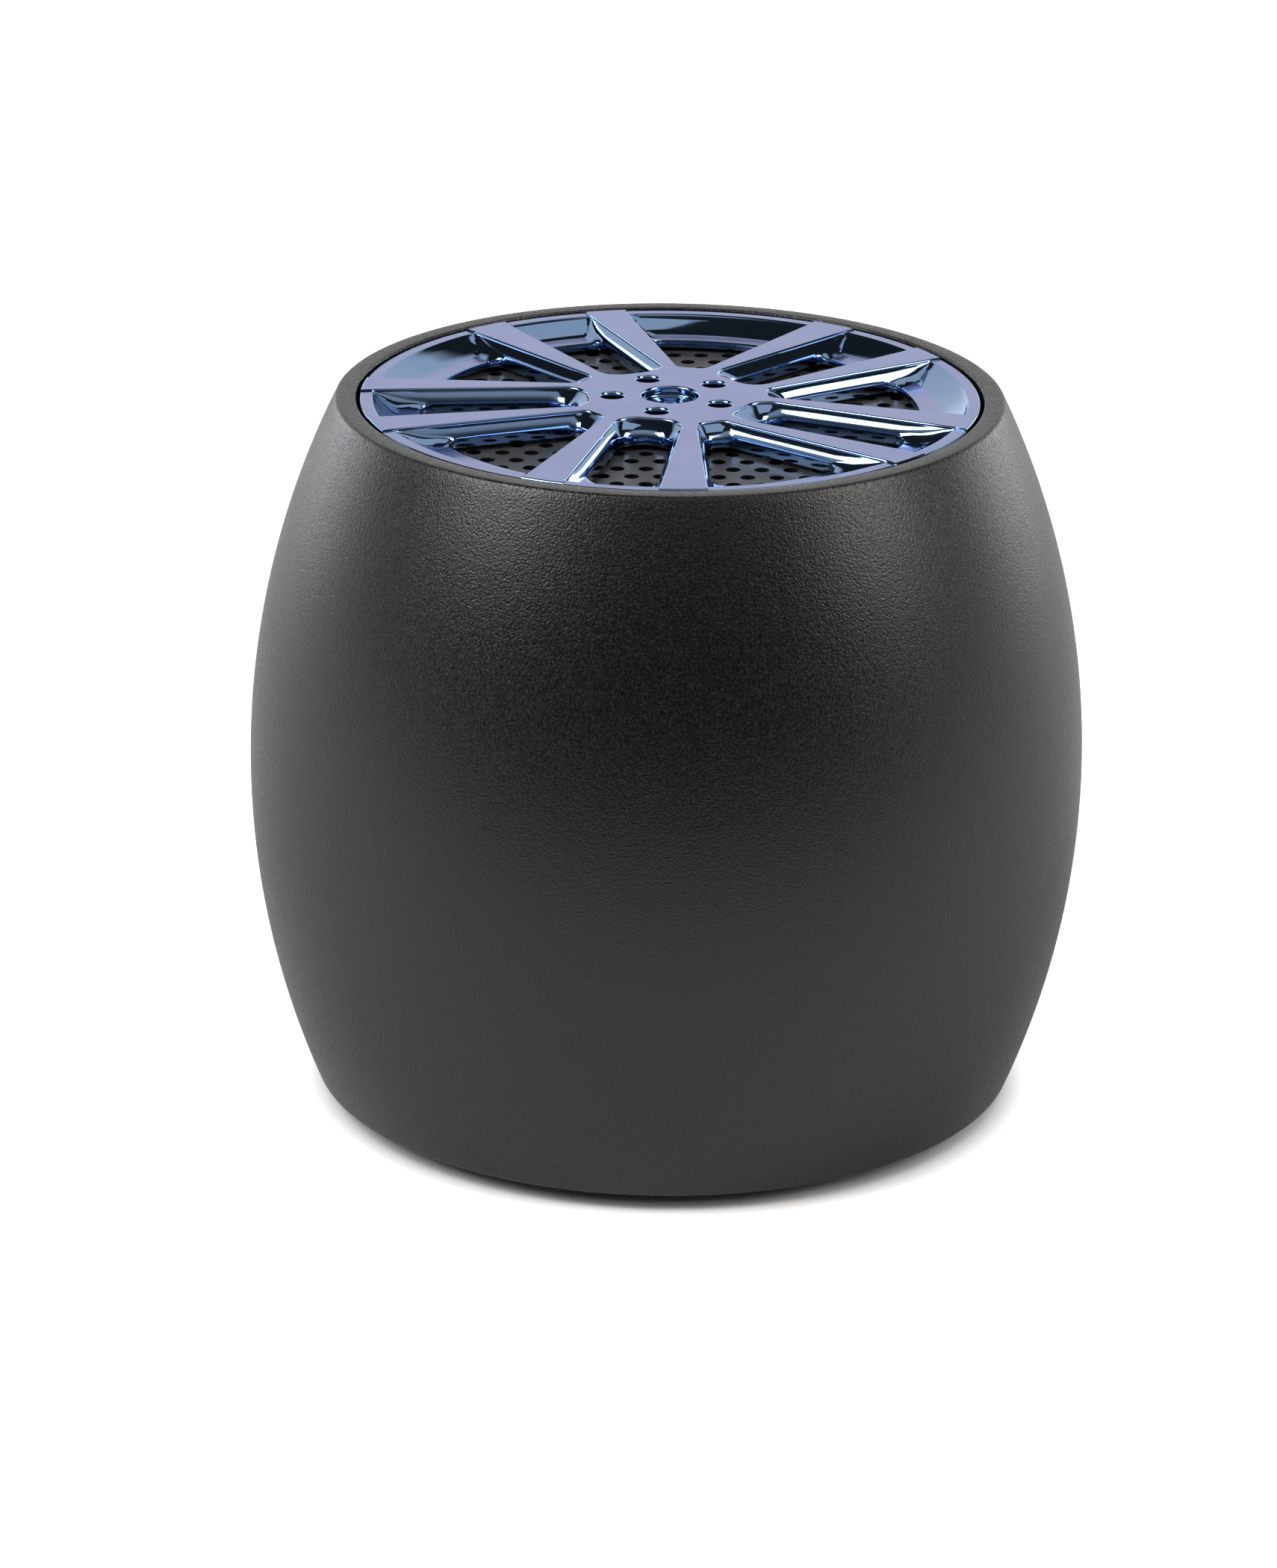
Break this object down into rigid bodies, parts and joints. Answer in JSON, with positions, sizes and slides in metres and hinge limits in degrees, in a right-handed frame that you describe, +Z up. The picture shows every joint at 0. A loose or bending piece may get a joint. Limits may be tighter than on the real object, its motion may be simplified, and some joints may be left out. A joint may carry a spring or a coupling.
{
  "type": "portable wireless speaker",
  "caption": "Small barrel-shaped wireless speaker with a wheel-shaped trim over its upward-firing driver, a rubber foot and a push button in the base.",
  "frame": {"origin": "centre of the rubber foot's contact plane, on the barrel's axis", "axes": "+Z up along the barrel's axis towards the wheel trim, -Y towards the front, +X to the right seen from the front"},
  "size_m": [0.06, 0.06, 0.0518],
  "materials": {
    "textured_shell": "charcoal, finely spark-textured, satin-matte",
    "blue_chrome": "blue-tinted plated chrome, satin on the face and bright on the edges",
    "black_steel": "black powder coat",
    "black_rubber": "matte",
    "foam": "closed-cell foam",
    "cone_paper": "pressed fibre",
    "copper": "enamelled copper wire",
    "spider_cloth": "resin-dipped cloth",
    "zinc_steel": "bright zinc",
    "nickel": "nickel plate",
    "circuit_green": "solder mask",
    "black_plastic": "moulded, fine matte",
    "white_plastic": "moulded nylon",
    "clear_plastic": "frosted clear plastic",
    "cell_foil": "laminated foil pouch",
    "red_lead": "wire insulation",
    "black_lead": "wire insulation"
  },
  "bodies": {
    "housing": {"barrel_shell": "textured_shell", "wheel_trim": "blue_chrome", "grille": "black_steel", "driver_gasket": "foam", "driver_basket": "black_steel", "driver_surround": "black_rubber", "spider": "spider_cloth", "pole_plate": "zinc_steel", "driver_magnet": "nickel", "yoke_cup": "zinc_steel", "terminal_board": "circuit_green", "driver_screw_1": "zinc_steel", "driver_screw_2": "zinc_steel", "driver_screw_3": "zinc_steel", "driver_screw_4": "zinc_steel", "base_cover": "black_plastic", "foot_ring": "black_rubber", "base_screw_1": "zinc_steel", "base_screw_2": "zinc_steel", "base_screw_3": "zinc_steel", "circuit_board": "circuit_green", "board_screw_1": "zinc_steel", "board_screw_2": "zinc_steel", "board_screw_3": "zinc_steel", "usb_socket": "nickel", "tact_switch": "black_plastic", "status_led": "white_plastic", "light_pipe": "clear_plastic", "microphone": "nickel", "microphone_boot": "black_rubber", "bluetooth_module": "nickel", "amplifier_chip": "black_plastic", "power_inductor": "black_plastic", "speaker_connector": "white_plastic", "battery_connector": "white_plastic", "battery_cell": "cell_foil", "battery_pad_left": "foam", "battery_pad_right": "foam", "speaker_wire_positive": "red_lead", "speaker_wire_negative": "black_lead", "battery_wire_positive": "red_lead", "battery_wire_negative": "black_lead"},
    "button": {"power_button": "black_plastic"},
    "diaphragm": {"driver_cone": "cone_paper", "dust_cap": "cone_paper", "voice_coil": "copper"}
  },
  "joints": [
    {"name": "button_press", "type": "slide", "parent": "housing", "child": "button", "axis": [0, 0, 1], "range_m": [0, 0.00035], "stiffness_N_per_m": 4000},
    {"name": "cone_stroke", "type": "slide", "parent": "housing", "child": "diaphragm", "axis": [0, 0, 1], "range_m": [-0.0008, 0.0008], "stiffness_N_per_m": 1500, "deforming": ["driver_surround", "spider"]}
  ]
}
